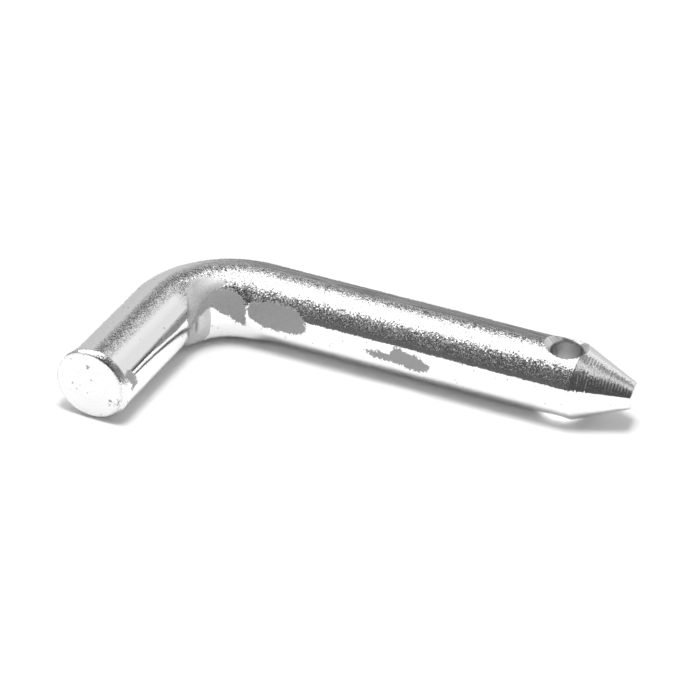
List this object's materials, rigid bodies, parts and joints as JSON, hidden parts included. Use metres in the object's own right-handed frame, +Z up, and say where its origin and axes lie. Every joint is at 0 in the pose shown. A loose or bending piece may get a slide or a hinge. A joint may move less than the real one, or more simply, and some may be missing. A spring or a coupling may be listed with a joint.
{
  "type": "bent clevis pin",
  "caption": "Round steel bar bent square into a long shank with a turned point and countersunk cross hole, and a short chamfered leg that stops it and pulls it out.",
  "frame": {"origin": "where the shank's axis meets the axis of the cross hole", "axes": "+X along the shank towards its point, +Z up the cross hole and square to the plane of the bend, -Y the way the short leg runs"},
  "size_m": [0.108, 0.0529, 0.016],
  "materials": {
    "zinc_plate": "bright zinc plate over a fine pickled grain, with dull grey rubs"
  },
  "bodies": {
    "root": {"pin": "zinc_plate"}
  },
  "joints": []
}
